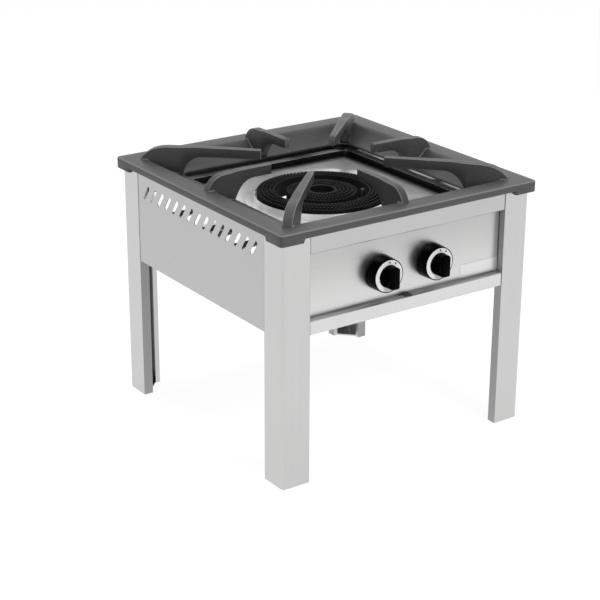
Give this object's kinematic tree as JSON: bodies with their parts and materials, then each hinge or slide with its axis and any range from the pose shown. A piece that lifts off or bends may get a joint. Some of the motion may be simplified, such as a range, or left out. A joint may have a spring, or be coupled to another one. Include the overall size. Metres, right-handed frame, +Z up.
{
  "type": "stock pot range",
  "caption": "Low gas stock pot range: stainless body on box-angle legs, cast pan support with arched fingers over a ring burner, and push-and-turn knobs on a recessed panel.",
  "frame": {"origin": "on the floor, in the middle of the range's footprint from knob fronts to gas inlet", "axes": "+Z up, +Y to the back, +X to the right as seen from the knobs, which face -Y"},
  "size_m": [0.6, 0.65, 0.541],
  "materials": {
    "stainless_sheet": "satin stainless sheet",
    "plate_aluminium": "plain bare plate",
    "grate_iron": "satin grey-black enamel over cast iron",
    "tray_steel": "pressed stainless sheet",
    "zinc_steel": "zinc plated sheet",
    "burner_iron": "matt black cast iron",
    "tap_brass": "machined brass",
    "tube_aluminium": "drawn tube",
    "pipe_paint": "grey painted steel pipe",
    "knob_plastic": "gloss black",
    "dial_plastic": "white dial ring",
    "bolt_steel": "bright steel"
  },
  "bodies": {
    "root": {"leg_front_left": "stainless_sheet", "leg_foot_front_left": "stainless_sheet", "tray_bracket_front_left": "zinc_steel", "leg_front_right": "stainless_sheet", "leg_foot_front_right": "stainless_sheet", "tray_bracket_front_right": "zinc_steel", "leg_rear_right": "stainless_sheet", "leg_foot_rear_right": "stainless_sheet", "tray_bracket_rear_right": "zinc_steel", "leg_rear_left": "stainless_sheet", "leg_foot_rear_left": "stainless_sheet", "tray_bracket_rear_left": "zinc_steel", "side_panel_left": "stainless_sheet", "side_panel_right": "stainless_sheet", "upper_rail_front": "stainless_sheet", "upper_rail_rear": "stainless_sheet", "lower_rail_front": "stainless_sheet", "lower_rail_rear": "stainless_sheet", "control_panel": "stainless_sheet", "bare_plate": "plate_aluminium", "spill_tray": "tray_steel", "burner_bar_front": "zinc_steel", "burner_bar_rear": "zinc_steel", "burner_bar_middle": "zinc_steel", "pipe_clip_front": "zinc_steel", "pipe_clip_rear": "zinc_steel", "pilot_bracket": "zinc_steel", "outer_burner_base": "burner_iron", "inner_burner_base": "burner_iron", "injector_outer": "tap_brass", "feed_tube_outer": "tube_aluminium", "injector_inner": "tap_brass", "feed_tube_inner": "tube_aluminium", "gas_pipe": "pipe_paint", "pipe_cap": "pipe_paint", "gas_inlet": "tap_brass", "tap_body_left": "tap_brass", "tap_cap_left": "tap_brass", "tap_body_right": "tap_brass", "tap_cap_right": "tap_brass", "pilot_burner": "tap_brass", "thermocouple": "bolt_steel", "thermocouple_lead": "tube_aluminium", "pilot_tube": "tube_aluminium", "frame_bolts": "bolt_steel", "burner_bolts": "bolt_steel", "tray_screws": "bolt_steel"},
    "pan_support_body": {"pan_support": "grate_iron"},
    "outer_crown_body": {"outer_crown": "burner_iron"},
    "inner_crown_body": {"inner_crown": "burner_iron"},
    "shutter_outer_body": {"air_shutter_outer": "zinc_steel"},
    "shutter_inner_body": {"air_shutter_inner": "zinc_steel"},
    "plug_left_body": {"tap_plug_left": "tap_brass"},
    "plug_right_body": {"tap_plug_right": "tap_brass"},
    "knob_left_body": {"knob_left": "knob_plastic", "dial_ring_left": "dial_plastic", "spindle_left": "bolt_steel"},
    "knob_right_body": {"knob_right": "knob_plastic", "dial_ring_right": "dial_plastic", "spindle_right": "bolt_steel"}
  },
  "joints": [
    {"name": "lift_pan_support", "type": "slide", "parent": "root", "child": "pan_support_body", "axis": [0, 0, 1], "range_m": [0, 0.15]},
    {"name": "lift_outer_crown", "type": "slide", "parent": "root", "child": "outer_crown_body", "axis": [0, 0, 1], "range_m": [0, 0.045]},
    {"name": "lift_inner_crown", "type": "slide", "parent": "root", "child": "inner_crown_body", "axis": [0, 0, 1], "range_m": [0, 0.045]},
    {"name": "turn_shutter_outer", "type": "hinge", "parent": "root", "child": "shutter_outer_body", "pos_m": [-0.106, -0.2, 0.412], "axis": [0, 1, 0], "range_deg": [0, 60]},
    {"name": "turn_shutter_inner", "type": "hinge", "parent": "root", "child": "shutter_inner_body", "pos_m": [0.02, -0.2, 0.412], "axis": [0, 1, 0], "range_deg": [0, 60]},
    {"name": "turn_tap_left", "type": "hinge", "parent": "root", "child": "plug_left_body", "pos_m": [-0.06, -0.245, 0.384], "axis": [0, -1, 0], "range_deg": [0, 180]},
    {"name": "push_knob_left", "type": "slide", "parent": "plug_left_body", "child": "knob_left_body", "axis": [0, 1, 0], "range_m": [0, 0.004], "stiffness_N_per_m": 2000},
    {"name": "turn_tap_right", "type": "hinge", "parent": "root", "child": "plug_right_body", "pos_m": [0.06, -0.245, 0.384], "axis": [0, -1, 0], "range_deg": [0, 180]},
    {"name": "push_knob_right", "type": "slide", "parent": "plug_right_body", "child": "knob_right_body", "axis": [0, 1, 0], "range_m": [0, 0.004], "stiffness_N_per_m": 2000}
  ]
}
